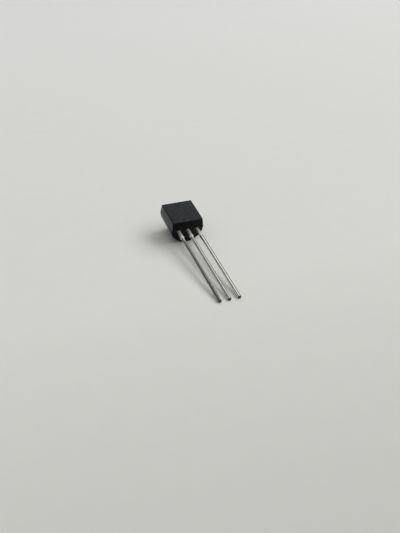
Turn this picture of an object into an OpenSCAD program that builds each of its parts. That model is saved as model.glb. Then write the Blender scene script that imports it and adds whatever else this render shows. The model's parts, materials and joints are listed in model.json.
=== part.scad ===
// TO-92 transistor: moulded case, stamped leads, and the die with its two bond wires.
//
// Each piece is drawn standing, as a data sheet shows it: leads down along -Z, the flat
// front towards -Y, the parting plane of the mould at y = 0, and the lead end of the case
// at z = 0. lying() then turns every piece into the way it comes to rest, flat front up,
// on the lead end of its round back and the three lead tips, with the floor at z = 0.

/* [Moulded case] */
// Width at the parting line, which is also the diameter of the round back
case_width = 4.5; // [4.3:0.05:4.8]
// Height from the lead end to the far end
case_height = 4.6; // [4.4:0.05:5.2]
// Width of the flat front
flat_width = 4.2; // [3.8:0.05:4.25]
// Depth from the flat front to the parting plane
front_depth = 1.2; // [1.1:0.05:1.4]
// Mould draft on the ends of the front half, in degrees
front_draft = 3; // [1:0.5:5]
// Mould draft on the ends of the round back half, in degrees
back_draft = 4; // [1:0.5:5]
// Break on the two long edges of the flat front
flat_edge = 0.06; // [0.02:0.01:0.1]
// Diameter of the ejector pin mark in the round back
ejector_d = 1.6; // [1:0.1:1.8]
// Depth of the ejector pin mark below the crown of the round back
ejector_depth = 0.2; // [0.16:0.01:0.3]

/* [Leads] */
// Length of each lead outside the case
lead_length = 14.5; // [12.7:0.1:16]
// Spacing from one lead to the next
lead_pitch = 1.27; // [1.15:0.01:1.39]
// Width of the long shank of a lead
shank_width = 0.42; // [0.38:0.01:0.42]
// Width of the root, next to the case
root_width = 0.44; // [0.42:0.01:0.5]
// Width over the two stubs left by the trimmed dambar
stub_width = 0.52; // [0.5:0.01:0.6]
// Distance from the case to the lower edge of the dambar stubs
stub_end = 1.65; // [1.3:0.05:2]
// Height of the dambar stubs
stub_height = 0.4; // [0.3:0.05:0.5]
// Thickness of the lead frame strip
strip = 0.38; // [0.36:0.01:0.42]

/* [Inside the case] */
// Height at which the inner lead ends widen into bond posts
post_start = 0.45; // [0.4:0.05:0.6]
// Height of the top of the two bond posts
post_top = 1.35; // [1.2:0.05:1.4]
// Width of the emitter's bond post
emitter_post_width = 0.8; // [0.7:0.05:0.9]
// Width of the base's bond post
base_post_width = 0.9; // [0.7:0.05:0.95]
// Cut on the upper corners of the bond posts
post_corner = 0.12; // [0.05:0.01:0.2]
// Height of the lower edge of the die paddle
paddle_bottom = 1.65; // [1.6:0.05:1.8]
// Height of the upper edge of the die paddle
paddle_top = 3.75; // [3.4:0.05:3.9]
// Left edge of the die paddle, from the middle
paddle_left = -1.35; // [-1.5:0.05:-1.1]
// Width of the neck from the collector lead up to the paddle
neck_width = 0.6; // [0.56:0.02:0.66]
// Radius of the half-round lock notch in the paddle's top edge
notch_r = 0.3; // [0.2:0.05:0.4]
// Side of the square die
die_side = 0.5; // [0.4:0.05:0.6]
// Thickness of the die
die_thick = 0.2; // [0.15:0.01:0.25]
// Height of the middle of the die
die_z = 2.6; // [2.4:0.05:2.8]
// Side of the square of die attach
attach_side = 0.62; // [0.6:0.02:0.8]
// Thickness of the die attach
attach_thick = 0.03; // [0.02:0.01:0.05]
// Diameter of the bond wires
wire_d = 0.05; // [0.04:0.005:0.06]
// Radius of the bend at the top of a wire loop
bend_r = 0.22; // [0.18:0.01:0.26]

/* [Hidden] */
$fn = 64;

// How far a cut runs past the surface it opens
past = 1;

back_r = case_width / 2;
front_inset = front_depth * tan(front_draft);
back_inset = back_r * tan(back_draft);

// Places of the three leads, seen from the flat front with the leads down
emitter_x = -lead_pitch;
base_x = 0;
collector_x = lead_pitch;

// Bond wires: the ball on the die, the neck above it, the stitch on the post, and how far
// the straight stretches run into the bend between them
ball_r = 0.06;
ball_h = 0.05;
wire_neck = 0.1;
wire_lap = 0.01;
stitch_w = 0.1;
stitch_l = 0.16;
stitch_h = 0.056;
stitch_z = 1.0;
die_front = attach_thick + die_thick;
base_pad = [0.12, die_z - 0.1];
emitter_pad = [-0.12, die_z + 0.04];

// Rest: the line from the lead tips to the lead end of the round back lies on the floor
rest_tilt = atan((back_r - strip) / (lead_length + back_inset));
rest_lift = lead_length * sin(rest_tilt) + strip * cos(rest_tilt);
rest_y_min = -lead_length * cos(rest_tilt);
rest_y_max = (case_height - back_inset) * cos(rest_tilt) + back_r * sin(rest_tilt);
rest_shift = -(rest_y_min + rest_y_max) / 2;

epoxy = "#26282a";
tin = "#c9c9c4";
silicon = "#5b6068";
silver_epoxy = "#a9a9a6";
gold = "#e0b64c";

// Lays a standing piece down in its rest pose
module lying() {
    translate([0, rest_shift, rest_lift])
        rotate([rest_tilt - 90, 0, 0])
            children();
}

// ---- moulded case ----

// Section across the leads: the flat front with its drafted sides, and the round back
module case_section() {
    edge_slope = (case_width - flat_width) / 2 / front_depth;
    polygon([
        [-flat_width / 2 + flat_edge, -front_depth],
        [flat_width / 2 - flat_edge, -front_depth],
        [flat_width / 2 + flat_edge * edge_slope, -front_depth + flat_edge],
        [case_width / 2, 0],
        [-case_width / 2, 0],
        [-flat_width / 2 - flat_edge * edge_slope, -front_depth + flat_edge]
    ]);
    intersection() {
        circle(r = back_r, $fn = 128);
        translate([-case_width, 0])
            square([2 * case_width, case_width]);
    }
}

// Side view, with both ends drafted away from the parting plane
module case_profile() {
    polygon([
        [-front_depth, front_inset],
        [0, 0],
        [back_r, back_inset],
        [back_r, case_height - back_inset],
        [0, case_height],
        [-front_depth, case_height - front_inset]
    ]);
}

module case_outside() {
    difference() {
        intersection() {
            linear_extrude(height = case_height)
                case_section();
            rotate([90, 0, 90])
                translate([0, 0, -case_width])
                    linear_extrude(height = 2 * case_width)
                        case_profile();
        }
        translate([0, back_r - ejector_depth, case_height / 2])
            rotate([-90, 0, 0])
                cylinder(d = ejector_d, h = ejector_depth + past);
    }
}

module moulded_case() {
    color(epoxy)
        difference() {
            case_outside();
            emitter_lead_shape();
            base_lead_shape();
            collector_lead_shape();
            die_shape();
            die_attach_shape();
            base_wire_shape();
            emitter_wire_shape();
        }
}

// ---- leads, stamped from flat strip ----

// Turns a flat outline, drawn across and up, into strip just behind the parting plane
module stamped() {
    translate([0, strip, 0])
        rotate([90, 0, 0])
            linear_extrude(height = strip)
                children();
}

// Right half of a lead's outline outside the case, from the tip up to the case
half_lead = [
    [shank_width / 2, -lead_length],
    [shank_width / 2, -stub_end],
    [stub_width / 2, -stub_end],
    [stub_width / 2, -stub_end + stub_height],
    [root_width / 2, -stub_end + stub_height],
    [root_width / 2, 0]
];

// Right half of a bond post, from the case's end face to the top of the post
function half_post(width) = [
    [root_width / 2, post_start],
    [width / 2, post_start],
    [width / 2, post_top - post_corner],
    [width / 2 - post_corner, post_top]
];

function mirrored(half) = [for (i = [len(half) - 1 : -1 : 0]) [-half[i][0], half[i][1]]];

module posted_lead(x, post_width) {
    half = concat(half_lead, half_post(post_width));
    translate([x, 0, 0])
        stamped()
            polygon(concat(half, mirrored(half)));
}

module emitter_lead_shape() {
    posted_lead(emitter_x, emitter_post_width);
}

module base_lead_shape() {
    posted_lead(base_x, base_post_width);
}

// The collector lead rises beside the posts and carries the die paddle over them
module collector_lead_shape() {
    neck_left = root_width / 2 - neck_width;
    neck = [
        [root_width / 2, paddle_top],
        [paddle_left - collector_x, paddle_top],
        [paddle_left - collector_x, paddle_bottom],
        [neck_left, paddle_bottom],
        [neck_left, post_start],
        [-root_width / 2, post_start]
    ];
    translate([collector_x, 0, 0])
        stamped()
            difference() {
                polygon(concat(half_lead, neck, mirrored(half_lead)));
                translate([(root_width / 2 + paddle_left - collector_x) / 2, paddle_top])
                    circle(r = notch_r);
            }
}

module emitter_lead() {
    color(tin)
        emitter_lead_shape();
}

module base_lead() {
    color(tin)
        base_lead_shape();
}

module collector_lead() {
    color(tin)
        collector_lead_shape();
}

// ---- die and die attach, on the front of the paddle ----

// A square pad in front of the parting plane
module square_pad(side, start, thick) {
    translate([-side / 2, -start - thick, die_z - side / 2])
        cube([side, thick, side]);
}

module die_shape() {
    square_pad(die_side, attach_thick, die_thick);
}

module die_attach_shape() {
    square_pad(attach_side, 0, attach_thick);
}

module die() {
    color(silicon)
        die_shape();
}

module die_attach() {
    color(silver_epoxy)
        die_attach_shape();
}

// ---- bond wires ----

// A wire loop in its own plane: +X runs from the ball to the stitch, +Z away from the strip.
// The ball stands at height base_h, and the stitch lies at height 0, span away.
module wire_loop(base_h, span) {
    rise = base_h + ball_h + wire_neck;
    reach = span - bend_r;
    drop = rise - stitch_h / 2;
    slope = atan(drop / reach) + asin(bend_r / sqrt(reach * reach + drop * drop));
    bend_end = [bend_r + bend_r * sin(slope), rise + bend_r * cos(slope)];
    run = (bend_end[1] - stitch_h / 2) / sin(slope);
    translate([0, 0, base_h]) {
        cylinder(r = ball_r, h = ball_h);
        cylinder(d = wire_d, h = ball_h + wire_neck + wire_lap);
    }
    translate([bend_r, 0, rise])
        rotate([-90, 0, 0])
            rotate([0, 0, 180])
                rotate_extrude(angle = 90 + slope)
                    translate([bend_r, 0])
                        circle(d = wire_d);
    translate([bend_end[0], 0, bend_end[1]])
        rotate([0, 90 + slope, 0])
            translate([0, 0, -wire_lap])
                cylinder(d = wire_d, h = run + wire_lap);
    translate([span - stitch_l / 2, -stitch_w / 2, 0])
        cube([stitch_l, stitch_w, stitch_h]);
}

// Places a loop from a pad on the die to a bond post
module bond_wire(pad, post_x) {
    across = post_x - pad[0];
    down = stitch_z - pad[1];
    translate([pad[0], 0, pad[1]])
        rotate([90, 0, 0])
            rotate([0, 0, atan2(down, across)])
                wire_loop(die_front, norm([across, down]));
}

module base_wire_shape() {
    bond_wire(base_pad, base_x);
}

module emitter_wire_shape() {
    bond_wire(emitter_pad, emitter_x);
}

module base_wire() {
    color(gold)
        base_wire_shape();
}

module emitter_wire() {
    color(gold)
        emitter_wire_shape();
}

lying() moulded_case();
lying() emitter_lead();
lying() base_lead();
lying() collector_lead();
lying() die();
lying() die_attach();
lying() base_wire();
lying() emitter_wire();
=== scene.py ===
import json
import math
from functools import partial
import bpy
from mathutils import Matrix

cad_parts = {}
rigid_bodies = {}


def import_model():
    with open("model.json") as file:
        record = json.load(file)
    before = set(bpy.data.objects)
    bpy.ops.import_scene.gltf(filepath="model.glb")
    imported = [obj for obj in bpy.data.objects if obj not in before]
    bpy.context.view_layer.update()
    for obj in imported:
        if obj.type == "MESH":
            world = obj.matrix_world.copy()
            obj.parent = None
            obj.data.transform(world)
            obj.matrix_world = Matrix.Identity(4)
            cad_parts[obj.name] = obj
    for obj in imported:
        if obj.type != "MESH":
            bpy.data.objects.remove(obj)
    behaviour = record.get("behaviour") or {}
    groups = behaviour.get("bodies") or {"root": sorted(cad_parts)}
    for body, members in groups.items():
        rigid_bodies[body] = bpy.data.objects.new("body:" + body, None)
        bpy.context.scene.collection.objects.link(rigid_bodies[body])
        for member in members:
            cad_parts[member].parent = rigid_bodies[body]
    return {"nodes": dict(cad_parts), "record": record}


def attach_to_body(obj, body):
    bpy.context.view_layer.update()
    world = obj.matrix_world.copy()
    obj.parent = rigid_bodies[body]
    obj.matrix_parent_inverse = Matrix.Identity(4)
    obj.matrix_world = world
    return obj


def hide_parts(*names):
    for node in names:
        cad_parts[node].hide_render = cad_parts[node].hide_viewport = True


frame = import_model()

from types import SimpleNamespace

import bmesh
import bpy
from bpy.props import FloatProperty, FloatVectorProperty, IntProperty, PointerProperty
from mathutils import Matrix, Vector

bl_info = {
    "name": "TO-92 transistor",
    "version": (1, 0, 0),
    "blender": (4, 5, 0),
    "location": "3D View > Sidebar > Transistor",
    "description": "A transistor in its moulded case, with leads, die and bond wires, "
                   "on a studio floor",
    "category": "Object",
}

# A millimetre in metres. Pieces are drawn standing, with one unit for a millimetre, because
# the bevel and boolean tools have fixed tolerances that are coarse next to parts this small.
MM = 0.001
# Two drawn places nearer than this are the same place
NEAR = 1e-3
BLACK = (0, 0, 0, 1)


# ---- the frame: how the part lies, and the sizes that its solids give ----

def mount_axis(name):
    """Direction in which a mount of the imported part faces."""
    for mount in frame["record"]["mounts"]:
        if mount["name"] == name:
            return Vector(mount["axis"])
    raise RuntimeError(f"the record has no mount named {name}")


def turned_box(node, turn):
    """Lowest and highest corner of a CAD node, in metres, in a turned frame."""
    corners = [turn @ vertex.co for vertex in frame["nodes"][node].data.vertices]
    low = Vector([min(corner[axis] for corner in corners) for axis in range(3)])
    high = Vector([max(corner[axis] for corner in corners) for axis in range(3)])
    return low, high


def lying_turn():
    """The turn from the drawing to rest: the flat front, drawn facing -Y, ends up facing up."""
    flat = mount_axis("flat_front")
    return Matrix.Rotation(math.atan2(-flat.y, flat.z) - math.pi / 2, 3, "X")


def drawing_origin(turn):
    """Where the drawing has its origin: y = 0 at the parting plane, z = 0 at the lead end."""
    parting = turned_box("base_lead", turn.inverted())[0].y
    lead_end = turned_box("moulded_case", turn.inverted())[0].z
    return Vector((0, parting, lead_end))


TURN = lying_turn()
ORIGIN = drawing_origin(TURN)


def drawn_box(node):
    """Lowest and highest corner of a CAD node in the standing drawing, in millimetres."""
    low, high = turned_box(node, TURN.inverted())
    return (low - ORIGIN) / MM, (high - ORIGIN) / MM


CASE_LOW, CASE_HIGH = drawn_box("moulded_case")
EMITTER_LOW, EMITTER_HIGH = drawn_box("emitter_lead")
BASE_LOW, BASE_HIGH = drawn_box("base_lead")
COLLECTOR_LOW, COLLECTOR_HIGH = drawn_box("collector_lead")
DIE_LOW, DIE_HIGH = drawn_box("die")
ATTACH_LOW, ATTACH_HIGH = drawn_box("die_attach")
DIE_MIDDLE = (DIE_LOW + DIE_HIGH) / 2
DIE_SIDE = DIE_HIGH.x - DIE_LOW.x
LEAD_PITCH = -(EMITTER_LOW.x + EMITTER_HIGH.x) / 2


# ---- settings ----

def length(name, description, default, **limits):
    """A length setting. Its default is written in millimetres and kept in metres."""
    return FloatProperty(name=name, description=description, default=default * MM,
                         unit="LENGTH", precision=5, **limits)


def angle(name, description, default):
    """An angle setting. Its default is written in degrees and kept in radians."""
    return FloatProperty(name=name, description=description, default=math.radians(default),
                         subtype="ANGLE")


def channel(value):
    """One sRGB channel, from 0 to 1, made linear."""
    return value / 12.92 if value <= 0.04045 else ((value + 0.055) / 1.055) ** 2.4


def linear(hex_colour):
    """An sRGB hex colour as the linear colour that a shader takes, which is opaque."""
    channels = bytes.fromhex(hex_colour.lstrip("#"))
    return (*(channel(value / 255) for value in channels), 1)


def colour(name, description, default):
    """A colour setting. Its default is written as an sRGB hex value and kept linear."""
    return FloatVectorProperty(name=name, description=description, default=linear(default),
                               subtype="COLOR", size=4, min=0, max=1)


def brightness(name, description, default):
    """A brightness setting. A white floor square on to a sky of brightness 1 looks white."""
    return FloatProperty(name=name, description=description, default=default, min=0)


def pad_place(name, description, across, up):
    """The place of a bond pad from the middle of the die, written in millimetres."""
    return FloatVectorProperty(name=name, description=description, size=2, unit="LENGTH",
                               precision=5, default=(across * MM, up * MM))


class CaseSettings(bpy.types.PropertyGroup):
    flat_width: length("Flat width", "Width of the flat front", 4.2)
    front_draft: angle("Front draft", "Mould draft on the ends of the front half", 3)
    back_draft: angle("Back draft", "Mould draft on the ends of the round back", 4)
    back_edge: length("Back edge radius", "Rounding where the round back meets its ends", 0.1)
    flat_edge: length("Flat edge radius", "Rounding round the flat front", 0.06)
    flash: length("Flash", "How far the flash at the parting line stands out", 0.018)
    ejector_size: length("Ejector mark", "Diameter of the ejector pin mark in the back", 1.6)
    ejector_depth: length("Ejector depth", "Depth of the pin mark below the crown", 0.2)
    sides: IntProperty(name="Sides", description="Sides of the full circle of the round back",
                       default=192, min=32, max=512)
    black: colour("Epoxy", "Colour of the moulded epoxy", "#050506")
    filler: colour("Filler", "Colour of the grey filler that shows in the epoxy", "#34383b")
    # Partly painted sheen: the pale grey of the marks lightens the flanks
    drag: colour("Drag marks and sheen", "Colour of the marks that the mould drags down the sides, and of the sheen painted there",
                 "#5c6062")


class LeadSettings(bpy.types.PropertyGroup):
    shank_width: length("Shank width", "Width of the long shank", 0.42)
    root_width: length("Root width", "Width next to the case", 0.44)
    stub_width: length("Stub width", "Width over the stubs of the trimmed dambar", 0.52)
    stub_low: length("Stub start", "Distance from the case to the far side of the stubs", 1.65)
    stub_high: length("Stub end", "Distance from the case to the near side of the stubs", 1.25)
    edge: length("Edge radius", "Rounding of the long edges, from stamping and dipping", 0.12)
    post_start: length("Post start", "Height at which the bond posts widen", 0.45)
    post_corner: length("Post corner", "Cut on the upper corners of the bond posts", 0.12)
    neck_width: length("Neck width", "Width of the neck up to the die paddle", 0.6)
    paddle_low: length("Paddle start", "Height of the lower edge of the die paddle", 1.65)
    notch: length("Notch radius", "Radius of the lock notch in the paddle", 0.3)
    emitter_twist: angle("Emitter twist", "Turn of the emitter's shank at the stubs", -7)
    base_twist: angle("Base twist", "Turn of the base's shank at the stubs", -1.5)
    collector_twist: angle("Collector twist", "Turn of the collector's shank at the stubs", 7)
    ripple: length("Ripple", "Height of the waviness of the plated shank", 0.012)
    ripple_size: length("Ripple size", "Size of the waves in the plated shank", 0.7)
    tin: colour("Tin", "Colour of the tin plate where it is clean", "#edece8")
    dull_tin: colour("Dull tin", "Colour of the tin plate in its duller streaks", "#c6c4be")
    # Painted shade: a dark colour put on the corners of the shanks
    thin_tin: colour("Corner shade", "Colour of the shade painted over the corners of the tin", "#3a3835")
    # Partly painted shade: the dark colour of the sheared tips
    core: colour("Tip metal and shade", "Colour of the bare base metal, with painted shade, at the sheared tips", "#57534d")


class DieSettings(bpy.types.PropertyGroup):
    street: length("Street", "Width of the sawn street round the die", 0.022)
    street_depth: length("Street depth", "Depth of the sawn street", 0.005)
    metal: length("Metal", "Thickness of the aluminium, drawn coarse so that it shows", 0.003)
    pad: length("Pad", "Side of the square bond pads", 0.13)
    finger: length("Finger", "Width of a finger of the aluminium combs", 0.02)
    fingers: IntProperty(name="Fingers", description="Fingers of each comb", default=4, min=2,
                         max=6)
    dab_edge: length("Dab edge", "Thickness of the die attach at its outer edge", 0.018)
    dab_corner: length("Dab corner", "Corner radius of the dab of die attach", 0.14)
    fillet: length("Fillet", "How far the die attach climbs the sides of the die", 0.06)
    silicon: colour("Silicon", "Colour of the sawn silicon", "#7d7f84")
    field: colour("Field oxide", "Colour of the thick oxide round the active area", "#3f7f74")
    active: colour("Active oxide", "Colour of the thinner oxide over the active area", "#6a4f8c")
    aluminium: colour("Aluminium", "Colour of the aluminium pads and combs", "#e2e3e4")
    silver: colour("Silver", "Colour of the silver flakes in the die attach", "#cfcdc8")
    resin: colour("Resin", "Colour of the resin between the flakes", "#85817a")


class WireSettings(bpy.types.PropertyGroup):
    size: length("Wire", "Diameter of the bond wires", 0.05)
    ball: length("Ball", "Diameter of the squashed ball on the die", 0.12)
    ball_height: length("Ball height", "Height of the squashed ball", 0.05)
    neck: length("Neck", "Straight stretch above the ball", 0.1)
    bend: length("Bend", "Radius of the bend at the top of the loop", 0.22)
    stitch_length: length("Stitch length", "Length of the end pressed flat on the post", 0.16)
    stitch_width: length("Stitch width", "Width of the end pressed flat on the post", 0.1)
    stitch_place: length("Stitch place", "Height of the stitches above the lead end", 1.0)
    base_pad: pad_place("Base pad", "Place of the base pad from the die's middle", 0.12, -0.1)
    emitter_pad: pad_place("Emitter pad", "Place of the emitter pad from the die's middle",
                           -0.12, 0.04)
    sides: IntProperty(name="Sides", description="Sides of the wire", default=24, min=8, max=48)
    gold: colour("Gold", "Colour of the drawn gold wire", "#f3cf86")
    pressed_gold: colour("Pressed gold", "Colour of the ball and the stitch", "#d9ad5b")


class StageSettings(bpy.types.PropertyGroup):
    # Painted light: the floor's three colours grade it darker towards the camera
    floor_far: colour("Far floor", "Colour of the floor well behind the part", "#e7e7e4")
    floor_here: colour("Floor", "Colour of the floor where the part lies", "#dfe0da")
    floor_near: colour("Near floor", "Colour of the floor well in front of the part", "#cccdc7")
    floor_size: length("Floor size", "Side of the square floor", 4000)
    key: brightness("Key", "Brightness of the key light's panel", 2.15)
    fill: brightness("Fill", "Brightness of the fill light's panel", 0.68)
    window: brightness("Window", "Brightness of the window", 1.4)
    ceiling: brightness("Ceiling", "Brightness of the ceiling", 1.1)
    view_from: angle("View azimuth", "Direction of the camera, from -Y towards +X", -22.234)
    view_height: angle("View elevation", "Height of the camera above the floor", 32.454)
    view_roll: angle("View roll", "Turn of the camera about its own axis", 1.301)
    view_distance: length("View distance", "From the camera to the point it looks at", 102.286)
    aim_x: length("Aim X", "Place across of the point on the floor that it looks at", -0.571)
    aim_y: length("Aim Y", "Place along of the point on the floor that it looks at", -1.177)
    lens: FloatProperty(name="Lens", description="Focal length, for a 36 mm sensor, in mm",
                        default=54.03, min=1)


SETTINGS = {"transistor_case": CaseSettings, "transistor_leads": LeadSettings,
            "transistor_die": DieSettings, "transistor_wires": WireSettings,
            "transistor_stage": StageSettings}


def drawn(group):
    """The settings of a group as a piece is drawn with them: its lengths are in millimetres."""
    sizes = SimpleNamespace()
    for setting in group.bl_rna.properties:
        value = getattr(group, setting.identifier)
        if setting.unit == "LENGTH":
            value = Vector(value) / MM if setting.is_array else value / MM
        setattr(sizes, setting.identifier, value)
    return sizes


# ---- drawing ----

def pick(piece=None):
    """Leaves edit mode, and selects one piece or none."""
    if bpy.context.mode != "OBJECT":
        bpy.ops.object.mode_set(mode="OBJECT")
    bpy.ops.object.select_all(action="DESELECT")
    if piece:
        piece.select_set(True)
        bpy.context.view_layer.objects.active = piece


def start(name, add, stretch=(1, 1, 1), place=(0, 0, 0), turn=(0, 0, 0), **options):
    """Adds a primitive at its size and place, and opens it in edit mode."""
    pick()
    add(location=place, rotation=turn, **options)
    piece = bpy.context.object
    piece.name = name
    piece.data.name = name
    piece.scale = stretch
    bpy.ops.object.transform_apply(location=True, rotation=True, scale=True)
    bpy.ops.object.mode_set(mode="EDIT")
    return piece


def select(kind, test):
    """Selects the FACE, EDGE or VERT parts of the piece in edit mode that pass a test."""
    bpy.ops.mesh.select_all(action="DESELECT")
    bpy.ops.mesh.select_mode(type=kind)
    data = bpy.context.object.data
    mesh = bmesh.from_edit_mesh(data)
    for part in {"FACE": mesh.faces, "EDGE": mesh.edges, "VERT": mesh.verts}[kind]:
        if test(part):
            part.select_set(True)
    mesh.select_flush_mode()
    bmesh.update_edit_mesh(data)


def both_ends(test):
    """An edge test that holds when the test holds at both ends of the edge."""
    return lambda edge: all(test(vertex.co) for vertex in edge.verts)


def facing(direction, test=lambda middle: True):
    """A face test: the face points in the direction and its middle passes the test."""
    way = Vector(direction)
    return lambda face: face.normal.dot(way) > 0.9 and test(face.calc_center_median())


def upright(edge):
    """An edge test: the edge runs up or down."""
    return abs(edge.verts[0].co.z - edge.verts[1].co.z) > NEAR


def extrude(move):
    """Extrudes what is selected."""
    bpy.ops.mesh.extrude_region_move(TRANSFORM_OT_translate={"value": move})


def bevel(offset, segments):
    """Rounds the selected edges."""
    bpy.ops.mesh.bevel(offset=offset, segments=segments, affect="EDGES")


def resize(scale, centre):
    """Scales what is selected about a place."""
    bpy.ops.transform.resize(value=scale, center_override=centre)


def cut(place, direction):
    """Cuts the piece in edit mode at a plane, and closes it there. What lies ahead is kept."""
    bpy.ops.mesh.select_all(action="SELECT")
    bpy.ops.mesh.bisect(plane_co=place, plane_no=direction, use_fill=True, clear_inner=True,
                        threshold=NEAR / 10)


def grow(sections, at, width):
    """Extrudes the selected round face upwards through sections, which give heights and widths.
    It starts at a height and a width, and leaves the last face selected."""
    for height, wide in sections:
        extrude((0, 0, height - at))
        resize((wide / width, wide / width, 1), (0, 0, height))
        at, width = height, wide


def split(faces, place, direction):
    """Splits some faces of the piece in edit mode along a plane."""
    select("FACE", faces)
    bpy.ops.mesh.bisect(plane_co=place, plane_no=direction, threshold=NEAR / 10)


def heal():
    """Merges doubles in the piece in edit mode, and turns its faces outwards."""
    bpy.ops.mesh.select_all(action="SELECT")
    bpy.ops.mesh.remove_doubles(threshold=NEAR / 10)
    bpy.ops.mesh.normals_make_consistent(inside=False)


def cut_away(piece, tool):
    """Cuts a tool's shape out of a piece, and removes the tool."""
    modify(piece, "BOOLEAN", object=tool, operation="DIFFERENCE", solver="EXACT")
    bpy.data.objects.remove(tool)


def modify(piece, kind, **options):
    """Adds a modifier to a piece and applies it."""
    pick(piece)
    modifier = piece.modifiers.new(kind.title(), kind)
    for option, value in options.items():
        setattr(modifier, option, value)
    bpy.ops.object.modifier_apply(modifier=modifier.name)


def place_mesh(piece, placing):
    """Moves, turns and scales a piece's mesh by a matrix, and leaves its object at the origin."""
    pick(piece)
    piece.matrix_world = placing
    bpy.ops.object.transform_apply(location=True, rotation=True, scale=True)


LAID_DOWN = TURN.to_4x4() @ Matrix.Translation(ORIGIN) @ Matrix.Scale(MM, 4)


def drawn_copy(name, collection):
    """Adds a copy of a finished piece, as it was drawn, to a collection."""
    piece = bpy.data.objects.get(name)
    if piece is None:
        raise RuntimeError(f"{name} has to be built before the case")
    copy = bpy.data.objects.new("room_for_" + name, piece.data.copy())
    collection.objects.link(copy)
    place_mesh(copy, LAID_DOWN.inverted())
    # Standing it up leaves tiny errors, which would part the faces that pieces share
    for vertex in copy.data.vertices:
        vertex.co = [round(value, 5) for value in vertex.co]


def finish_piece(piece, node, material, sharp=0):
    """Shades a drawn piece smooth across edges less sharp than some degrees, lays it down at its
    real size, gives it its material, joins it to the root body and hides the CAD node it stands
    for."""
    if sharp:
        pick(piece)
        bpy.ops.object.shade_smooth_by_angle(angle=math.radians(sharp))
    place_mesh(piece, LAID_DOWN)
    piece.data.materials.clear()
    piece.data.materials.append(material)
    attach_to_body(piece, "root")
    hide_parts(node)


# ---- materials ----

def add_node(tree, kind, inputs=(), **settings):
    """Adds a node with its settings and links. Its inputs are values or outputs of other nodes,
    by name or in the order that it shows them, which for noise is the coordinates, the scale
    and the detail. Gives its output, or all of several."""
    node = tree.nodes.new("ShaderNode" + kind)
    for setting, value in settings.items():
        setattr(node, setting, value)
    if isinstance(inputs, dict):
        sockets, inputs = [node.inputs[name] for name in inputs], inputs.values()
    else:
        sockets = [socket for socket in node.inputs if socket.enabled]
    for socket, value in zip(sockets, inputs):
        if isinstance(value, bpy.types.NodeSocket):
            tree.links.new(value, socket)
        else:
            socket.default_value = value
    outputs = [socket for socket in node.outputs if socket.enabled]
    return outputs[0] if len(outputs) == 1 else node.outputs


def new_material(name):
    """A new material, what adds a node to it, and the place on a finished piece as coordinates
    of the standing drawing, in millimetres."""
    material = bpy.data.materials.new(name)
    material.use_nodes = True
    material.node_tree.nodes.clear()
    add = partial(add_node, material.node_tree)
    place = add("Mapping", {"Vector": add("TexCoord")["Object"], "Location": -ORIGIN / MM,
                            "Rotation": TURN.inverted().to_euler(), "Scale": [1 / MM] * 3})
    return material, add, place


def finish_surface(add, shader, height, strength, depth):
    """Ends a material: a bump of a strength, and of a depth in millimetres, below a shader."""
    bump = add("Bump", {"Height": height, "Strength": strength, "Distance": depth * MM})
    shader = add("BsdfPrincipled", {**shader, "Normal": bump})
    add("OutputMaterial", {"Surface": shader})


def moulded_epoxy(settings):
    """Epoxy moulding compound, transfer moulded. The spark-eroded cavity leaves the flat matt,
    grey with filler and finely grained, leaving the mould draws grey marks down the sides of the
    front half, whose pale grey is partly painted sheen, and the ground cavity leaves faint streaks
    along the glossier back."""
    material, add, place = new_material("moulded_epoxy")
    across, depth, _ = add("SeparateXYZ", (place,))
    aside = add("Math", (across,), operation="ABSOLUTE")
    half = settings.flat_width / 2
    # The filler shows on the flat up to a tenth of a millimetre from its edges
    matt = add("Math", (
        add("MapRange", (depth, CASE_LOW.y + 0.02, CASE_LOW.y + 0.05, 1, 0)),
        add("MapRange", (aside, half - 0.14, half - 0.06, 1, 0))), operation="MULTIPLY")
    # The flanks lie beside the flat, in front of the parting plane at depth 0
    flank = add("Math", (add("MapRange", (aside, half, half + 0.02, 0, 1)),
                         add("MapRange", (depth, -0.05, 0, 1, 0))), operation="MULTIPLY")
    # Silica grains are about 0.03 mm and are drawn three times coarser, so that they show
    grain = add("TexNoise", (place, 1 / 0.1, 4))["Fac"]
    # Clouds of filler are about a third of a millimetre across
    clouds = add("TexNoise", (place, 1 / 0.35, 2))["Fac"]
    # Grinding streaks are 0.06 mm wide and run along the case
    ground = add("VectorMath", (place, (16, 16, 0.6)), operation="MULTIPLY")
    streaks = add("TexNoise", (ground, 1, 2))["Fac"]
    # Marks that the mould drags are 0.08 mm wide and run the way that the mould opens; their pale
    # grey is also painted sheen
    opened = add("VectorMath", (place, (1, 1, 12)), operation="MULTIPLY")
    drag = add("TexNoise", (opened, 1, 3))["Fac"]
    cloudy_grain = add("Math", (grain, clouds), operation="MULTIPLY")
    on_flat = add("Math", (matt, add("MapRange", (cloudy_grain, 0.1, 0.36, 0.2, 1))),
                  operation="MULTIPLY")
    # Painted sheen, with the marks: the flanks beside the flat are coloured pale grey
    drag_and_sheen_on_flank = add("Math", (flank, add("MapRange", (drag, 0.3, 0.7, 0.56, 0.82))),
                   operation="MULTIPLY")
    black = add("Mix", (on_flat, settings.black, settings.filler), data_type="RGBA")
    black = add("Mix", (drag_and_sheen_on_flank, black, settings.drag), data_type="RGBA")
    # The back is glossy, the sides of the front half less so, and the flat is matt
    rough = add("MapRange", (streaks, 0.35, 0.65, 0.18, 0.3))
    rough = add("Mix", (flank, rough, 0.4))
    rough = add("Mix", (matt, rough, add("MapRange", (clouds, 0.35, 0.65, 0.55, 0.7))))
    finish_surface(add, {"Base Color": black, "Roughness": rough, "IOR": 1.55,
                         "Specular IOR Level": 0.12},
                   height=add("Mix", (matt, streaks, grain)), strength=0.6, depth=0.004)
    return material


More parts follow.
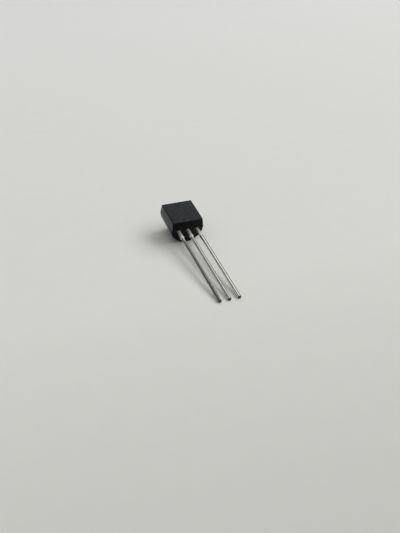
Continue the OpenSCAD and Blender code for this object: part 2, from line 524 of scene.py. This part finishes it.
def tin_plate(settings):
    """Matt tin plated on stamped strip. Drawing the strip leaves streaks along the lead, the
    plating leaves it softly mottled, and the sheared tip is darker and rough, with bare base metal
    and painted shade. Painted shade darkens the corners of the shanks."""
    material, add, place = new_material("tin_plate")
    across, _, along = add("SeparateXYZ", (place,))
    # Streaks are 0.05 mm wide and a few millimetres long
    drawn_out = add("VectorMath", (place, (20, 20, 0.5)), operation="MULTIPLY")
    streaks = add("TexNoise", (drawn_out, 1, 3))["Fac"]
    # The plating is mottled in patches of about 0.4 mm
    mottle = add("TexNoise", (place, 1 / 0.4, 3))["Fac"]
    dull = add("Math", (streaks, mottle), operation="MULTIPLY")
    tin = add("Mix", (add("MapRange", (dull, 0.16, 0.38, 0, 1)), settings.tin,
                      settings.dull_tin), data_type="RGBA")
    # Painted shade: the corners of the shanks are coloured dark, standing in for the dark room
    # that their rounded edges reflect. The left-hand ones are darkened where they turn sideways,
    # most of all on the emitter, and the right-hand ones from 0.05 to 0.09 mm beside the middle.
    # The left-hand sheared sides get less of it, and the right-hand ones none
    shank = add("MapRange", (along, -1.9, -1.6, 1, 0))
    from_middle = add("Math", (across, LEAD_PITCH / 2, -LEAD_PITCH / 2), operation="WRAP")
    sideways = add("SeparateXYZ", (add("TexCoord")["Normal"],))["X"]
    left = [(sideways, -0.4, -0.18, 1, 0), (sideways, -0.98, -0.85, 0.3, 1),
            (across, -0.7, -0.6, 1, 0.25)]
    right = [(from_middle, 0.05, 0.09, 0, 1), (sideways, 0.88, 0.96, 1, 0)]
    for limits in (left, right):
        corner, *others = [add("MapRange", limit) for limit in limits]
        for other in (*others, shank):
            corner = add("Math", (corner, other), operation="MULTIPLY")
        tin = add("Mix", (corner, tin, settings.thin_tin), data_type="RGBA")
    # Cleaning the resin off the roots leaves them duller, down to the stubs' far side. The shears
    # bare the base metal over the last tenth of a millimetre, and its dark colour there is partly
    # painted shade
    root = add("MapRange", (along, -1.7, -1.5, 0, 0.3))
    tip = add("MapRange", (along, BASE_LOW.z + 0.08, BASE_LOW.z + 0.12, 1, 0))
    metal = add("Mix", (tip, tin, settings.core), data_type="RGBA")
    rough = add("MapRange", (dull, 0.16, 0.38, 0.1, 0.2))
    for more in (root, add("MapRange", (tip, 0, 1, 0, 0.35))):
        rough = add("Math", (rough, more), operation="ADD")
    finish_surface(add, {"Base Color": metal, "Metallic": 1, "Roughness": rough},
                   height=streaks, strength=0.4, depth=0.0015)
    return material


def sawn_silicon(settings):
    """A silicon die: grey where the saw cut it, with oxide whose thickness gives it a colour,
    and bright evaporated aluminium on top."""
    material, add, place = new_material("sawn_silicon")
    across, depth, height = add("SeparateXYZ", (place,))
    metal = settings.metal
    on_metal = add("MapRange", (depth, DIE_LOW.y + 0.4 * metal, DIE_LOW.y + 0.6 * metal, 1, 0))
    street = DIE_LOW.y + metal + settings.street_depth
    on_oxide = add("MapRange", (depth, street - 0.4 * metal, street - 0.2 * metal, 1, 0))
    # The base diffusion ends 0.05 mm inside the edge of the die, over 0.004 mm, and its oxide
    # is thinner
    inside = DIE_SIDE / 2 - 0.05
    edges = []
    for value, middle in ((across, DIE_MIDDLE.x), (height, DIE_MIDDLE.z)):
        away = add("Math", (value, middle), operation="SUBTRACT")
        away = add("Math", (away,), operation="ABSOLUTE")
        edges.append(add("MapRange", (away, inside, inside + 0.004, 1, 0)))
    oxide = add("Mix", (add("Math", edges, operation="MULTIPLY"), settings.field,
                        settings.active), data_type="RGBA")
    # Saw marks are 0.01 mm apart and run along the sides of the die
    sawn = add("VectorMath", (place, (6, 100, 6)), operation="MULTIPLY")
    saw_marks = add("TexNoise", (sawn, 1, 2))["Fac"]
    # Aluminium grains are about 0.01 mm
    grains = add("TexNoise", (place, 1 / 0.01, 2))["Fac"]
    surface = add("Mix", (add("MapRange", (saw_marks, 0.3, 0.7, 0, 0.35)), settings.silicon,
                          BLACK), data_type="RGBA")
    surface = add("Mix", (on_oxide, surface, oxide), data_type="RGBA")
    surface = add("Mix", (on_metal, surface, settings.aluminium), data_type="RGBA")
    rough = add("MapRange", (saw_marks, 0.3, 0.7, 0.35, 0.55))
    rough = add("Mix", (on_oxide, rough, 0.12))
    rough = add("Mix", (on_metal, rough, add("MapRange", (grains, 0.3, 0.7, 0.2, 0.35))))
    finish_surface(add, {"Base Color": surface, "Metallic": 0.9, "Roughness": rough},
                   height=add("Mix", (on_oxide, saw_marks, grains)), strength=0.3, depth=0.001)
    return material


def silver_epoxy(settings):
    """Epoxy filled with silver flakes, dispensed and cured: a satin grey that glitters."""
    material, add, place = new_material("silver_epoxy")
    # Flakes are about 0.01 mm, and are drawn twice as coarse so that they show
    flakes = add("TexVoronoi", {"Vector": place, "Scale": 1 / 0.02})
    shine = add("SeparateXYZ", (flakes["Color"],))["X"]
    surface = add("Mix", (shine, settings.resin, settings.silver), data_type="RGBA")
    finish_surface(add, {"Base Color": surface, "Metallic": 0.6,
                         "Roughness": add("MapRange", (shine, 0, 1, 0.55, 0.3))},
                   height=shine, strength=0.4, depth=0.002)
    return material


def gold_wire(settings):
    """Drawn gold wire, bright and faintly streaked along its length, and duller where the
    bonding tool pressed it into the ball and the stitch."""
    material, add, place = new_material("gold_wire")
    depth = add("SeparateXYZ", (place,))["Y"]
    # The ball and the stitch are the lowest parts of the wire, nearest to the strip
    ball_top = DIE_LOW.y - settings.ball_height
    pressed = add("Math", (add("MapRange", (depth, -0.07, -0.05, 0, 1)),
                           add("MapRange", (depth, ball_top - 0.02, ball_top, 0, 0.8))),
                  operation="MAXIMUM")
    # Tool marks and grains are about 0.008 mm
    grains = add("TexNoise", (place, 1 / 0.008, 3))["Fac"]
    marks = add("Math", (pressed, grains), operation="MULTIPLY")
    surface = add("Mix", (marks, settings.gold, settings.pressed_gold), data_type="RGBA")
    rough = add("Mix", (pressed, add("MapRange", (grains, 0.3, 0.7, 0.1, 0.16)),
                        add("MapRange", (grains, 0.3, 0.7, 0.2, 0.35))))
    finish_surface(add, {"Base Color": surface, "Metallic": 1, "Roughness": rough},
                   height=grains, strength=0.25, depth=0.001)
    return material


def pale_board(settings):
    """Smooth matt board, pressed with a barely visible fibre, with painted light that pales it
    away from the camera.
    """
    material, add, place = new_material("pale_board")
    # Fibres are finer than this and are drawn 2 mm across, so that they show at all
    fibre = add("TexNoise", (place, 1 / 2, 4))["Fac"]
    # Painted light: the board's colour pales away from the camera, up to 10 mm in front of the
    # case, and slowly beyond, standing in for light that falls off towards the camera
    along = add("SeparateXYZ", (place,))["Z"]
    pale = settings.floor_near
    for near, far, paler in ((-50, -10, settings.floor_here), (-10, 100, settings.floor_far)):
        share = add("MapRange", (along, near, far, 0, 1))
        pale = add("Mix", (share, pale, paler), data_type="RGBA")
    # A fibre is up to this share darker than the board
    darker = 0.015
    dim = add("Mix", (darker, pale, BLACK), data_type="RGBA")
    board = add("Mix", (add("MapRange", (fibre, 0.3, 0.7, 0, 1)), dim, pale),
                data_type="RGBA")
    shader = add("BsdfPrincipled", {"Base Color": board, "Roughness": 0.75, "IOR": 1.4})
    add("OutputMaterial", {"Surface": shader})
    return material


# ---- leads ----

def raise_strip(outline):
    """Extrudes the top face of a strip up through an outline, which gives heights and the left
    and right edge there. Each half of the end face moves as one, so its corners stay round."""
    height, left, right = outline[0]
    for next_height, next_left, next_right in outline[1:]:
        select("FACE", facing((0, 0, 1), lambda middle: middle.z > height - NEAR))
        extrude((0, 0, next_height - height))
        middle_x = (left + right) / 2
        for side, move in ((-1, next_left - left), (1, next_right - right)):
            select("VERT", lambda vertex: vertex.co.z > next_height - NEAR
                   and side * (vertex.co.x - middle_x) > 0)
            bpy.ops.transform.translate(value=(move, 0, 0))
        height, left, right = next_height, next_left, next_right


def lead_outline(x, settings):
    """Outline of a lead from its tip to where it widens inside the case."""
    shank, stub, root = [width / 2 for width in (
        settings.shank_width, settings.stub_width, settings.root_width)]
    low, high = -settings.stub_low, -settings.stub_high
    # The sheared ends of the stubs slope over this height
    slope = 0.08
    stations = [(low - slope, shank), (low, stub), (high, stub), (high + slope, root),
                (settings.post_start - slope, root)]
    return [(height, x - half, x + half) for height, half in stations]


def post_outline(x, width, settings):
    """Outline of a bond post, which a wire is stitched to."""
    half = width / 2
    corner = settings.post_corner
    low, high = settings.post_start, EMITTER_HIGH.z
    return [(low, x - half, x + half), (high - corner, x - half, x + half),
            (high, x - half + corner, x + half - corner)]


def paddle_outline(x, settings):
    """Outline of the collector's neck and of the paddle that carries the die."""
    right = x + settings.root_width / 2
    neck = right - settings.neck_width
    # The paddle's lower edge slopes a little, over this height
    slope = 0.03
    low, high = settings.paddle_low, COLLECTOR_HIGH.z
    return [(settings.post_start, neck, right), (low - slope, neck, right),
            (low, COLLECTOR_LOW.x, right), (high, COLLECTOR_LOW.x, right)]


def draw_lead(name, x, inner_outline, twist, settings):
    """A stamped and plated lead: a bar with round edges, raised through its outline."""
    strip = BASE_HIGH.y - BASE_LOW.y
    tip = BASE_LOW.z
    outline = lead_outline(x, settings)
    shank_end = outline[0][0]
    lead = start(name, bpy.ops.mesh.primitive_cube_add, size=1,
                 stretch=(settings.shank_width, strip, shank_end - tip),
                 place=(x, strip / 2, (shank_end + tip) / 2))
    shape_lead(tip, settings.edge, outline + inner_outline)
    ripple(lead, settings.ripple, settings.ripple_size, -settings.root_width)
    # The shank turns about the rounded lower edge that it then rests on
    lower_edge = settings.shank_width / 2 - settings.edge
    twist_shank(lead, Vector((x + math.copysign(lower_edge, twist),
                              strip - settings.edge, shank_end)), twist)
    return lead


def cut_lock_notch(lead, settings):
    """Cuts the half-round notch in the paddle's top edge, which locks it in the epoxy."""
    middle_x = (COLLECTOR_LOW.x + COLLECTOR_HIGH.x) / 2
    punch = start("notch_punch", bpy.ops.mesh.primitive_cylinder_add, vertices=96,
                  radius=settings.notch, depth=2,
                  place=(middle_x, 0, COLLECTOR_HIGH.z), turn=(math.pi / 2, 0, 0))
    cut_away(lead, punch)


def shape_lead(tip, edge, outline):
    """Rounds the edges of the bar in edit mode, cuts its faces up for the ripple, and raises
    its top through the outline."""
    select("EDGE", upright)
    bevel(edge, segments=5)
    # Rings along the shank and lines across its faces, for the ripple to move
    select("EDGE", upright)
    bpy.ops.mesh.subdivide(number_cuts=99)
    select("EDGE", lambda line: line.calc_length() > 1.5 * edge and not upright(line))
    bpy.ops.mesh.subdivide(number_cuts=2)
    # The shears leave a small rounding round the tip
    select("EDGE", both_ends(lambda place: place.z < tip + NEAR))
    bevel(edge / 5, segments=2)
    raise_strip(outline)


def twist_shank(lead, axis_place, angle):
    """Twists a lead's shank about a line along it, within a tenth of its length after the
    stubs."""
    heights = [vertex.co.z for vertex in lead.data.vertices]
    low, high = min(heights), max(heights)
    axis = bpy.data.objects.new("twist_axis", None)
    axis.location = axis_place
    bpy.context.scene.collection.objects.link(axis)
    bpy.context.view_layer.update()
    end = (axis_place.z - low) / (high - low)
    modify(lead, "SIMPLE_DEFORM", deform_method="TWIST", deform_axis="Z", origin=axis,
           angle=-angle, limits=(0.9 * end, end))
    bpy.data.objects.remove(axis)


def ripple(lead, height, size, start_z):
    """Makes the plated surface softly uneven: not at all above a height outside the case, and
    fully from a little below it."""
    fade = 0.5
    pick(lead)
    group = lead.vertex_groups.new(name="plated_outside")
    for vertex in lead.data.vertices:
        group.add([vertex.index], min(max((start_z - vertex.co.z) / fade, 0), 1), "REPLACE")
    texture = bpy.data.textures.new("plating_ripple", "CLOUDS")
    texture.noise_scale = size
    texture.noise_depth = 1
    modify(lead, "DISPLACE", texture=texture, strength=height, vertex_group=group.name,
           texture_coords="LOCAL")


# ---- moulded case ----

# The pieces that the case was moulded round
INNER_PIECES = ("plated_emitter_lead", "plated_base_lead", "plated_collector_lead",
                "silver_epoxy_attach", "sawn_silicon_die", "gold_base_wire", "gold_emitter_wire")


def draw_case(settings):
    """The moulded case: the round back cut from a bar, and the front half extruded from the
    parting face, with the flash of the mould between them."""
    height = CASE_HIGH.z
    radius = CASE_HIGH.y
    case = start("case_of_moulded_epoxy", bpy.ops.mesh.primitive_cylinder_add,
                 vertices=settings.sides, radius=radius, depth=height,
                 place=(0, 0, height / 2))
    draft = settings.back_draft
    cut((0, 0, 0), (0, 1, 0))
    cut((0, 0, 0), (0, -math.sin(draft), math.cos(draft)))
    cut((0, 0, height), (0, -math.sin(draft), -math.cos(draft)))

    def at_an_end(place):
        inset = place.y * math.tan(draft)
        return place.z < inset + NEAR or place.z > height - inset - NEAR

    select("EDGE", lambda edge: both_ends(at_an_end)(edge)
           and max(vertex.co.y for vertex in edge.verts) > NEAR
           and abs(edge.verts[0].co.z - edge.verts[1].co.z) < height / 2)
    bevel(settings.back_edge, segments=4)
    draw_front(settings, height)
    cut_ejector_mark(case, settings, radius, height / 2)
    return case


def draw_front(settings, height):
    """Extrudes the front half of the case from the parting face of its round back."""
    width = CASE_HIGH.x - CASE_LOW.x
    flash = settings.flash
    depth = -CASE_LOW.y
    inset = depth * math.tan(settings.front_draft)
    # Distance in front of the parting face, width and height: the flash, and then the draft
    sections = [
        (0.3 * flash, width + 2 * flash, height + 2 * flash),
        (1.5 * flash, width + 2 * flash, height + 2 * flash),
        (1.8 * flash, width, height),
        (depth, settings.flat_width, height - 2 * inset),
    ]
    at, across, up = 0, width, height
    select("FACE", facing((0, -1, 0)))
    for next_at, next_across, next_up in sections:
        extrude((0, at - next_at, 0))
        resize((next_across / across, 1, next_up / up), (0, 0, height / 2))
        at, across, up = next_at, next_across, next_up
    select("EDGE", both_ends(lambda place: place.y < NEAR - depth))
    bevel(settings.flat_edge, segments=4)


def cut_ejector_mark(case, settings, radius, height):
    """Sinks the round mark of the ejector pin, whose end has a rounded rim, into the back."""
    depth = settings.ejector_depth
    rim = 0.03
    pin = start("ejector_pin", bpy.ops.mesh.primitive_cylinder_add, vertices=96,
                radius=settings.ejector_size / 2, depth=1,
                place=(0, radius - depth + 0.5, height), turn=(math.pi / 2, 0, 0))
    select("EDGE", both_ends(lambda place: place.y < radius - depth + NEAR))
    bevel(rim, segments=3)
    cut_away(case, pin)


def leave_room(case):
    """Cuts the room for all that the case was moulded round, in one pass, because pieces that
    share a face would leave slivers between two cuts."""
    rooms = bpy.data.collections.new("rooms")
    bpy.context.scene.collection.children.link(rooms)
    for name in INNER_PIECES:
        drawn_copy(name, rooms)
    modify(case, "BOOLEAN", operand_type="COLLECTION", collection=rooms,
           operation="DIFFERENCE", solver="EXACT")
    for room in list(rooms.objects):
        bpy.data.objects.remove(room)
    bpy.data.collections.remove(rooms)


# ---- die and die attach ----

def comb(side, pad, other_pad, settings):
    """Rectangles of one aluminium comb on the die, as left, right, low and high from the die's
    middle: its bus, its bond pad and its fingers, which stop short of the other comb's pad.
    Side is -1 where the bus runs along the left edge, and 1 where it runs along the right."""
    reach = DIE_SIDE / 2 - 2 * settings.street
    half_pad, wide = settings.pad / 2, settings.finger
    bus = [side * reach, side * (reach - wide)]
    parts = [(min(bus), max(bus), -reach, reach),
             (pad.x - half_pad, pad.x + half_pad, pad.y - half_pad, pad.y + half_pad)]
    step = 2 * (reach - wide) / (2 * settings.fingers - 1)
    for turn in range(settings.fingers):
        height = side * (reach - wide - 2 * turn * step)
        end = -side * (reach - 2 * wide)
        if abs(height - other_pad.y) < half_pad + wide:
            end = other_pad.x + side * (half_pad + wide)
        parts.append((min(bus[0], end), max(bus[0], end), height - wide / 2, height + wide / 2))
    return parts


def draw_die(settings, wires):
    """The silicon die: a sawn block with its street, and the two aluminium combs raised on it."""
    metal = settings.metal
    saw_line = DIE_LOW.y + metal + settings.street_depth
    die = start("sawn_silicon_die", bpy.ops.mesh.primitive_cube_add, size=1,
                stretch=(DIE_SIDE, DIE_HIGH.y - saw_line, DIE_SIDE),
                place=(DIE_MIDDLE.x, (DIE_HIGH.y + saw_line) / 2, DIE_MIDDLE.z))
    select("FACE", facing((0, -1, 0)))
    bpy.ops.mesh.inset(thickness=settings.street)
    extrude((0, -settings.street_depth, 0))
    face = facing((0, -1, 0), lambda middle: middle.y < DIE_LOW.y + metal + NEAR)
    pads = wires.base_pad, wires.emitter_pad
    parts = comb(-1, *reversed(pads), settings) + comb(1, *pads, settings)
    # Lines across the face at every left, right, low and high edge of a part
    for edges, way in ((slice(2), Vector((1, 0, 0))), (slice(2, 4), Vector((0, 0, 1)))):
        for line in sorted({round(edge, 5) for part in parts for edge in part[edges]}):
            split(face, DIE_MIDDLE + line * way, way)

    def metalled(middle):
        x, height = middle.x - DIE_MIDDLE.x, middle.z - DIE_MIDDLE.z
        return any(left < x < right and low < height < high for left, right, low, high in parts)

    select("FACE", lambda part: face(part) and metalled(part.calc_center_median()))
    extrude((0, -metal, 0))
    return die


def draw_attach(settings):
    """The die attach: a dab of silver epoxy, pressed out round the die, with a fillet that
    climbs the die's sides."""
    side = ATTACH_HIGH.x - ATTACH_LOW.x
    edge, corner = settings.dab_edge, settings.dab_corner
    dab = start("silver_epoxy_attach", bpy.ops.mesh.primitive_cube_add, size=1,
                stretch=(side, edge, side),
                place=(DIE_MIDDLE.x, ATTACH_HIGH.y - edge / 2, DIE_MIDDLE.z))
    select("EDGE", lambda line: abs(line.verts[0].co.y - line.verts[1].co.y) > NEAR)
    bevel(corner, segments=8)
    # Cuts along the straight sides let them wander, as a dab's edge does
    select("EDGE", lambda line: line.calc_length() > side / 3)
    bpy.ops.mesh.subdivide(number_cuts=8)
    select("FACE", facing((0, -1, 0)))
    # The fillet is concave: it climbs slowly at first, and steeply next to the die, in shares
    # of its width and of its height
    gap = (side - DIE_SIDE) / 2
    climb = settings.fillet + ATTACH_HIGH.y - DIE_HIGH.y - edge
    for inward, upward in ((0.3, 0.1), (0.25, 0.15), (0.2, 0.25), (0.15, 0.5)):
        bpy.ops.mesh.inset(thickness=inward * gap, depth=upward * climb)
    texture = bpy.data.textures.new("pressed_out", "CLOUDS")
    texture.noise_scale = corner
    for way in "XZ":
        modify(dab, "DISPLACE", texture=texture, strength=edge, direction=way,
               texture_coords="LOCAL")
    die_room = start("die_room", bpy.ops.mesh.primitive_cube_add, size=1,
                     stretch=(DIE_HIGH.x - DIE_LOW.x, 1, DIE_HIGH.z - DIE_LOW.z),
                     place=(DIE_MIDDLE.x, DIE_HIGH.y - 0.5, DIE_MIDDLE.z))
    cut_away(dab, die_room)
    return dab


# ---- bond wires ----

def draw_wire(name, pad, post, settings):
    """A bond wire from a pad on the die to a post, each given across and up. It is drawn with
    +X along its span and +Z away from the strip, and then placed."""
    span = (post - pad).length
    ball, tall = settings.ball, settings.ball_height
    thick, bend = settings.size, settings.bend
    base = -DIE_LOW.y
    top = base + tall + settings.neck
    # The tool squashes the ball flat below and leaves a cone above it, up to the neck
    wire = start(name, bpy.ops.mesh.primitive_cylinder_add, vertices=settings.sides,
                 radius=0.42 * ball, depth=0.06 * tall, place=(0, 0, base + 0.03 * tall))
    select("FACE", facing((0, 0, 1)))
    # Heights and widths up the ball, in shares of its own
    ball_shape = [(0.16, 0.95), (0.34, 1.0), (0.62, 1.0), (0.8, 0.93), (0.92, 0.76), (1.0, 0.56)]
    sections = [(base + height * tall, width * ball) for height, width in ball_shape]
    sections += [(base + 1.15 * tall, thick), (top, thick)]
    grow(sections, base + 0.06 * tall, 0.84 * ball)
    # The straight run falls from the bend to the near end of the stitch, and touches both
    stitch = settings.stitch_length
    heel = Vector((span - stitch / 2, 0, thick / 2))
    drop = top - heel.z
    slope = (math.atan(drop / (heel.x - bend))
             + math.asin(bend / math.hypot(heel.x - bend, drop)))
    bpy.ops.mesh.spin(steps=18, angle=math.pi / 2 + slope, center=(bend, 0, top),
                      axis=(0, -1, 0))
    bend_end = Vector((bend + bend * math.sin(slope), 0, top + bend * math.cos(slope)))
    extrude(heel - bend_end)
    press_stitch(heel, slope, settings)
    cut((0, 0, 0), (0, 0, 1))
    heal()
    across = Vector((post.x - pad.x, 0, post.y - pad.y)).normalized()
    away = Vector((0, -1, 0))
    axes = Matrix((across, away.cross(across), away)).transposed().to_4x4()
    place_mesh(wire, Matrix.Translation((pad.x, 0, pad.y)) @ axes)
    return wire


def press_stitch(heel, slope, settings):
    """Presses the selected end of a wire flat on to the post, from its heel to its cut end."""
    thick, wide = settings.size, settings.stitch_width
    place, height, width = heel, thick, thick
    # The stitch in shares of its length, of the wire's thickness and of its own width
    for along, share_up, share_across in ((0.12, 0.96, 0.56), (0.3, 0.8, 0.76),
                                          (0.55, 0.55, 0.96), (0.8, 0.4, 1.0),
                                          (1.0, 0.25, 0.94)):
        next_height, next_width = share_up * thick, share_across * wide
        # It is drawn a little low, so that cutting it at the post leaves it a flat underside
        target = Vector((heel.x + along * settings.stitch_length, 0,
                         0.4 * next_height))
        extrude(target - place)
        if place == heel:
            bpy.ops.transform.rotate(value=slope, orient_axis="Y", center_override=target)
        resize((1, next_width / width, next_height / height), target)
        place, height, width = target, next_height, next_width


# ---- stage ----

# How far the panel lights stand from the part, in metres
PANEL_DISTANCE = 0.8


def add_floor(settings):
    """A pale floor."""
    pick()
    bpy.ops.mesh.primitive_plane_add(size=settings.floor_size)
    floor = bpy.context.object
    floor.name = "floor"
    floor.data.materials.append(pale_board(settings))


def from_aim(azimuth, elevation, distance):
    """A place seen from the origin in a direction: azimuth 0 is at -Y, and 90 degrees at +X."""
    return Vector((math.sin(azimuth) * math.cos(elevation),
                   -math.cos(azimuth) * math.cos(elevation),
                   math.sin(elevation))) * distance


def add_panel_light(name, azimuth, elevation, width, height, level):
    """A soft panel light that faces the part, as bright as a sky of a level. Its direction is
    in degrees, and its size in metres."""
    light = bpy.data.lights.new(name, "AREA")
    light.shape = "RECTANGLE"
    light.size = width
    light.size_y = height
    # The watts that make such a panel as bright as that sky
    light.energy = level * math.pi * width * height
    panel = bpy.data.objects.new(name, light)
    bpy.context.scene.collection.objects.link(panel)
    panel.location = from_aim(math.radians(azimuth), math.radians(elevation), PANEL_DISTANCE)
    panel.rotation_euler = panel.location.to_track_quat("Z", "Y").to_euler()


def add_world(settings):
    """A soft room round the part: walls that are as pale as the floor low down and dim above,
    a pale one behind the part, a tall window to the right, a dimmer one far to the left, and a
    bright ceiling."""
    world = bpy.data.worlds.new("soft_room")
    bpy.context.scene.world = world
    world.use_nodes = True
    world.node_tree.nodes.clear()
    add = partial(add_node, world.node_tree)
    # How far a direction points to the right, away from the leads and up, each from -1 to 1.
    # The edges of the parts of the room are soft: they lie between two such values
    right, beyond, up = add("SeparateXYZ", (add("TexCoord")["Generated"],))
    level = add("MapRange", (up, 0, 0.3, 0.78, 0.13))
    window = add("Math", (add("MapRange", (right, 0.18, 0.36, 0, settings.window)),
                          add("MapRange", (up, 0.4, 0.52, 0, 1))), operation="MULTIPLY")
    far_left = add("Math", (add("MapRange", (right, -0.55, -0.4, 0.5, 0)),
                            add("MapRange", (up, 0.3, 0.42, 0, 1))), operation="MULTIPLY")
    far_wall = add("MapRange", (beyond, 0.5, 0.9, 0, 0.7))
    ceiling = add("MapRange", (up, 0.85, 0.96, 0, settings.ceiling))
    for part in (window, far_left, far_wall, ceiling):
        level = add("Math", (level, part), operation="MAXIMUM")
    add("OutputWorld", {"Surface": add("Background", {"Strength": level})})


def add_camera(settings):
    """A camera above and in front of the leads, looking down on the part."""
    camera = bpy.data.objects.new("camera", bpy.data.cameras.new("camera"))
    bpy.context.scene.collection.objects.link(camera)
    bpy.context.scene.camera = camera
    camera.data.sensor_width = 36
    camera.data.lens = settings.lens
    # From a millimetre to past the far edge of the floor
    camera.data.clip_start = MM
    camera.data.clip_end = 10
    aim = Vector((settings.aim_x, settings.aim_y, 0))
    away = from_aim(settings.view_from, settings.view_height, settings.view_distance)
    roll = Matrix.Rotation(settings.view_roll, 3, "Z").to_quaternion()
    camera.location = aim + away
    camera.rotation_euler = (away.to_track_quat("Z", "Y") @ roll).to_euler()


class TRANSISTOR_OT_leads(bpy.types.Operator):
    """Build the three stamped and plated leads"""
    bl_idname = "transistor.leads"
    bl_label = "Leads"
    bl_options = {"REGISTER", "UNDO"}

    def execute(self, context):
        settings = drawn(context.scene.transistor_leads)
        post = BASE_HIGH.x - BASE_LOW.x
        emitter_post = EMITTER_HIGH.x - EMITTER_LOW.x
        material = tin_plate(settings)
        leads = (
            ("emitter_lead", -LEAD_PITCH, post_outline(-LEAD_PITCH, emitter_post, settings),
             settings.emitter_twist),
            ("base_lead", 0, post_outline(0, post, settings), settings.base_twist),
            ("collector_lead", LEAD_PITCH, paddle_outline(LEAD_PITCH, settings),
             settings.collector_twist),
        )
        for node, x, inner, twist in leads:
            lead = draw_lead("plated_" + node, x, inner, twist, settings)
            if node == "collector_lead":
                cut_lock_notch(lead, settings)
            finish_piece(lead, node, material, sharp=35)
        return {"FINISHED"}


class TRANSISTOR_OT_die(bpy.types.Operator):
    """Build the silicon die and the silver epoxy that holds it"""
    bl_idname = "transistor.die"
    bl_label = "Die and die attach"
    bl_options = {"REGISTER", "UNDO"}

    def execute(self, context):
        settings = drawn(context.scene.transistor_die)
        die = draw_die(settings, drawn(context.scene.transistor_wires))
        finish_piece(die, "die", sawn_silicon(settings))
        attach = draw_attach(settings)
        finish_piece(attach, "die_attach", silver_epoxy(settings), sharp=40)
        return {"FINISHED"}


class TRANSISTOR_OT_wires(bpy.types.Operator):
    """Build the two gold bond wires"""
    bl_idname = "transistor.wires"
    bl_label = "Bond wires"
    bl_options = {"REGISTER", "UNDO"}

    def execute(self, context):
        settings = drawn(context.scene.transistor_wires)
        material = gold_wire(settings)
        die = Vector((DIE_MIDDLE.x, DIE_MIDDLE.z))
        stitch = settings.stitch_place
        wires = (("base_wire", settings.base_pad, 0),
                 ("emitter_wire", settings.emitter_pad, -LEAD_PITCH))
        for node, pad, post_x in wires:
            wire = draw_wire("gold_" + node, die + pad, Vector((post_x, stitch)), settings)
            finish_piece(wire, node, material, sharp=40)
        return {"FINISHED"}


class TRANSISTOR_OT_case(bpy.types.Operator):
    """Build the moulded case"""
    bl_idname = "transistor.case"
    bl_label = "Moulded case"
    bl_options = {"REGISTER", "UNDO"}

    def execute(self, context):
        settings = drawn(context.scene.transistor_case)
        case = draw_case(settings)
        leave_room(case)
        finish_piece(case, "moulded_case", moulded_epoxy(settings), sharp=35)
        return {"FINISHED"}


class TRANSISTOR_OT_stage(bpy.types.Operator):
    """Add the floor, the lights and the camera"""
    bl_idname = "transistor.stage"
    bl_label = "Stage"
    bl_options = {"REGISTER", "UNDO"}

    def execute(self, context):
        settings = context.scene.transistor_stage
        add_floor(settings)
        add_panel_light("key", 88, 46, 0.96, 0.43, settings.key)
        add_panel_light("fill", -20, 62, 0.56, 0.56, settings.fill)
        add_world(settings)
        add_camera(settings)
        context.scene.view_settings.view_transform = "Standard"
        return {"FINISHED"}


OPERATORS = (TRANSISTOR_OT_leads, TRANSISTOR_OT_die, TRANSISTOR_OT_wires,
             TRANSISTOR_OT_case, TRANSISTOR_OT_stage)


class TRANSISTOR_PT_panel(bpy.types.Panel):
    """The transistor's settings and the steps that build it"""
    bl_idname = "TRANSISTOR_PT_panel"
    bl_label = "Transistor"
    bl_space_type = "VIEW_3D"
    bl_region_type = "UI"
    bl_category = "Transistor"

    def draw(self, context):
        for operator in OPERATORS:
            self.layout.operator(operator.bl_idname)
        for name in SETTINGS:
            box = self.layout.box()
            group = getattr(context.scene, name)
            for setting in group.bl_rna.properties:
                if setting.identifier not in ("rna_type", "name"):
                    box.prop(group, setting.identifier)


def register():
    for group in SETTINGS.values():
        bpy.utils.register_class(group)
    for name, group in SETTINGS.items():
        setattr(bpy.types.Scene, name, PointerProperty(type=group))
    for kind in (*OPERATORS, TRANSISTOR_PT_panel):
        bpy.utils.register_class(kind)


def unregister():
    for kind in (TRANSISTOR_PT_panel, *reversed(OPERATORS)):
        bpy.utils.unregister_class(kind)
    for name, group in SETTINGS.items():
        delattr(bpy.types.Scene, name)
        bpy.utils.unregister_class(group)


def corners(box):
    return [list(corner) for corner in box]


def main():
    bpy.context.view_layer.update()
    register()
    bpy.ops.transistor.leads()
    bpy.ops.transistor.die()
    bpy.ops.transistor.wires()
    bpy.ops.transistor.case()
    bpy.ops.transistor.stage()


if __name__ == "__main__":
    main()
